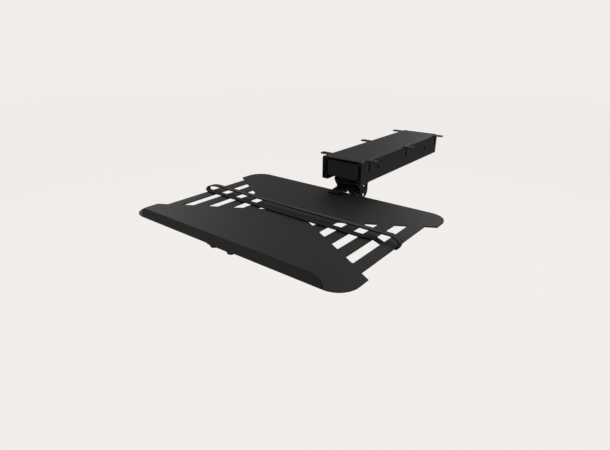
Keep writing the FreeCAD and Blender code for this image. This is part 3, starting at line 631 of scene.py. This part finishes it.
def buildGripRibs():
    look = gripLook
    half, wide, steps = look["length"] / 2, look["width"] / 2, look["roundSteps"]
    rings = []
    for x, scale in ((-half, look["endScale"]), (-half + wide, 1.0), (half - wide, 1.0),
                     (half, look["endScale"])):
        ring = []
        for step in range(steps + 1):
            angle = math.pi * step / steps
            ring.append((x, wide * math.cos(angle) * scale,
                         look["rise"] * math.sin(angle) * scale - look["sunk"]))
        rings.append(ring)
    rib = newPiece("gripRib", *ringSkin(rings, False))
    low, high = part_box("lever_grip")
    middle = (low + high) / 2
    first = middle.y - look["pitch"] * (look["count"] - 1) / 2
    spots = [((middle.x, first + look["pitch"] * number, high.z), upright)
             for number in range(look["count"])]
    ribs = repeatPiece("gripRibs", rib, spots, "grip")
    settle(ribs, "tilt_lever", "grip_plastic")


buildGripRibs()
print("grip ribs placed")


# Strap

strapLook = {
    "width": 0.0105, "thickness": 0.0024, "ribs": 6, "ribHeight": 0.0001, "stepsPerRib": 4,
    "edgeShare": 0.9, "edgeSteps": (30, 60, 90, 120, 150), "step": 0.0012, "soften": 2,
    "bendSteps": 12, "softBelow": 60, "wander": 0.00012, "wanderTurns": (37, 11),
    "onPlateZ": -0.05925, "underY": -0.3125, "slotEnd": 0.1685, "slotStart": 0.154,
    "straightEnd": 0.13285, "reaches": (0.0175, 0.0025), "lead": 0.4,
    "freeReaches": (0.0165, 0.0165), "freeLead": 1.0,
}


# A rounded end of the loop, down from the upper run to the lower one, each at its (y, z); the
# reaches are how far its upper and its lower half stand out
def strapBend(outermost, reaches, upper, lower, lead):
    steps = strapLook["bendSteps"]
    places = []
    for step in range(2 * steps + 1):
        angle = math.radians(90 - 90 * step / steps)
        reach = reaches[0] if angle > 0 else reaches[1]
        share = (1 - math.sin(angle)) / 2
        places.append(Vector((outermost - reach * (1 - math.cos(angle)),
                              upper[0] + (lower[0] - upper[0]) * share ** lead,
                              upper[1] + (lower[1] - upper[1]) * share)))
    return places


# Corners of the loop, with one run above the laptop and one on the plate: the right end goes round
# the side rail and up through the slot, and the left one stands free outside its rail
def strapCorners():
    look = strapLook
    low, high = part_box("laptop_strap")
    inset = Vector((look["thickness"], look["width"], look["thickness"])) / 2
    least, most = low + inset, high - inset
    above = (most.y, most.z)
    corners = strapBend(most.x, look["reaches"], above, (look["underY"], least.z), look["lead"])
    corners.append(Vector((look["slotEnd"], look["underY"], least.z)))
    corners.append(Vector((look["slotStart"], look["underY"], look["onPlateZ"])))
    corners.append(Vector((look["straightEnd"], least.y, look["onPlateZ"])))
    free = strapBend(-least.x, look["freeReaches"], above, (least.y, look["onPlateZ"]),
                     look["freeLead"])
    return corners + [Vector((-place.x, place.y, place.z)) for place in reversed(free)]


# Centre line and outward normals of the loop, seen from the front, clockwise from the right bend
def strapRoute():
    corners = strapCorners()
    line = []
    for number, start in enumerate(corners):
        gap = corners[(number + 1) % len(corners)] - start
        count = max(1, round(gap.length / strapLook["step"]))
        line += [start + gap * (step / count) for step in range(count)]
    for _ in range(strapLook["soften"]):
        line = [(line[place - 1] + line[place] * 2 + line[(place + 1) % len(line)]) / 4
                for place in range(len(line))]
    route = []
    for place, centre in enumerate(line):
        along = line[(place + 1) % len(line)] - line[place - 1]
        route.append((centre, along.cross(Vector((0, 1, 0))).normalized()))
    return route


# The webbing's section as (across, out) pairs: ribbed faces and rounded edges
def strapSection():
    look = strapLook
    half, thick = look["width"] / 2, look["thickness"] / 2
    steps = look["ribs"] * look["stepsPerRib"]
    edge = thick * look["edgeShare"]
    top = []
    for number in range(steps + 1):
        across = -half + edge + (look["width"] - 2 * edge) * number / steps
        groove = 0.5 + 0.5 * math.cos(math.tau * number / look["stepsPerRib"])
        top.append((across, thick - look["ribHeight"] * groove))
    right = [(half - edge + edge * math.sin(angle), thick * math.cos(angle))
             for angle in [math.radians(step) for step in look["edgeSteps"]]]
    return top + right + [(-across, -rise) for across, rise in top + right]


# Length from the first point to each of the others and back to the first
def runningLength(places):
    lengths = [0.0]
    for number, place in enumerate(places):
        lengths.append(lengths[-1] + math.dist(place, places[(number + 1) % len(places)]))
    return lengths


# The strap's own UV in metres: along the loop and round its section, with the seams closed
def layStrap(mesh, route, section):
    along = runningLength([centre for centre, normal in route])
    around = runningLength(section)
    laid = mesh.uv_layers.new(name="alongStrap")
    for face in mesh.polygons:
        spots = [divmod(mesh.loops[loop].vertex_index, len(section)) for loop in face.loop_indices]
        rowSeam = max(row for row, column in spots) > 1
        columnSeam = max(column for row, column in spots) > 1
        for loop, (row, column) in zip(face.loop_indices, spots):
            laid.data[loop].uv = (along[row or (len(route) if rowSeam else 0)],
                                  around[column or (len(section) if columnSeam else 0)])


def buildStrap():
    route, section = strapRoute(), strapSection()
    slow, fast = strapLook["wanderTurns"]
    rings = []
    for length, (centre, normal) in zip(runningLength([centre for centre, normal in route]), route):
        sway = strapLook["wander"] * math.sin(length * slow) * math.sin(length * fast)
        rings.append([centre + Vector((0, across, 0)) + normal * (rise + sway)
                      for across, rise in section])
    strap = newPiece("strap", *ringSkin(rings, True), softBelow=strapLook["softBelow"])
    shape = bmesh.new()
    shape.from_mesh(strap.data)
    bmesh.ops.recalc_face_normals(shape, faces=shape.faces)
    shape.to_mesh(strap.data)
    shape.free()
    layStrap(strap.data, route, section)
    settle(strap, "tray", "strap_webbing", "laptop_strap")


buildStrap()
print("strap laid")


# Studio

studio = {
    "background": (0.8796, 0.8469, 0.8228, 1), "skyStrength": 0.147, "mirroredStrength": 0.23,
    "floorZ": -0.74, "floorRadius": 9.0, "floorSides": 96, "floorGlow": 1.08, "glowShare": 0.9,
    "lens": 25.361, "sensor": 36.0, "nearClip": 0.01, "eye": (0.4161, -0.79785, 0.18908),
    "pitchDown": 22.851, "yawLeft": 38.389, "lampTarget": (0, -0.2, -0.05),
}

# Area lamps: where each stands, its two sides in metres, and its power
lamps = {
    "backSoftbox": {"place": (0.35, 1.8, 0.9), "sides": (2.4, 1.4), "watts": 9.6},
    "leftSoftbox": {"place": (-2.0, 0.3, 0.9), "sides": (1.2, 1.0), "watts": 3.8},
    "overheadSoftbox": {"place": (-1.0, -0.3, 1.6), "sides": (1.2, 1.2), "watts": 4.3},
    "frontFill": {"place": (-0.9, -1.7, 0.5), "sides": (1.5, 1.5), "watts": 3.4},
}


def buildWorld():
    world = bpy.data.worlds.new("studioWorld")
    bpy.context.scene.world = world
    world.use_nodes = True
    world.node_tree.nodes.clear()
    tree = NodeTree(world.node_tree)
    seen = tree.add("ShaderNodeLightPath", None, None, "Is Camera Ray")
    mirrored = tree.add("ShaderNodeLightPath", None, None, "Is Glossy Ray")
    sky = studio["skyStrength"]
    strength = mirrored * (studio["mirroredStrength"] - sky) + sky
    shown = tree.add("ShaderNodeBackground", None,
                     {"Color": studio["background"], "Strength": 1.0})
    lit = tree.add("ShaderNodeBackground", None, {"Color": grey(1), "Strength": strength})
    mixed = tree.add("ShaderNodeMixShader", None, [seen, lit, shown])
    tree.add("ShaderNodeOutputWorld", None, {"Surface": mixed})


def buildFloor():
    mesh = bpy.data.meshes.new("floor")
    shape = bmesh.new()
    bmesh.ops.create_circle(shape, cap_ends=True, segments=studio["floorSides"],
                            radius=studio["floorRadius"])
    for vertex in shape.verts:
        vertex.co.z = studio["floorZ"]
    shape.to_mesh(mesh)
    shape.free()
    floor = addObject("floor", mesh)
    material, tree = newFinish("paleFloor")
    seen = tree.add("ShaderNodeLightPath", None, None, "Is Camera Ray")
    matte = tree.add("ShaderNodeBsdfDiffuse", None, {"Color": studio["background"]})
    glow = tree.add("ShaderNodeEmission", None,
                    {"Color": studio["background"], "Strength": studio["floorGlow"]})
    surface = tree.add("ShaderNodeMixShader", None, [seen * studio["glowShare"], matte, glow])
    tree.add("ShaderNodeOutputMaterial", None, {"Surface": surface})
    mesh.materials.append(material)


def addLamp(name, look):
    light = bpy.data.lights.new(name, "AREA")
    light.shape = "RECTANGLE"
    light.size, light.size_y = look["sides"]
    light.energy = look["watts"]
    lamp = addObject(name, light)
    lamp.location = look["place"]
    aim = Vector(studio["lampTarget"]) - Vector(look["place"])
    lamp.rotation_euler = aim.to_track_quat("-Z", "Y").to_euler()


def addCamera():
    view = bpy.data.cameras.new("photoView")
    view.sensor_width = studio["sensor"]
    view.lens = studio["lens"]
    view.clip_start = studio["nearClip"]
    camera = addObject("photoView", view)
    camera.location = studio["eye"]
    camera.rotation_euler = (math.radians(90 - studio["pitchDown"]), 0,
                             math.radians(studio["yawLeft"]))
    bpy.context.scene.camera = camera


buildWorld()
buildFloor()
for name, look in lamps.items():
    addLamp(name, look)
addCamera()
bpy.context.scene.view_settings.view_transform = "Standard"
print("studio ready")
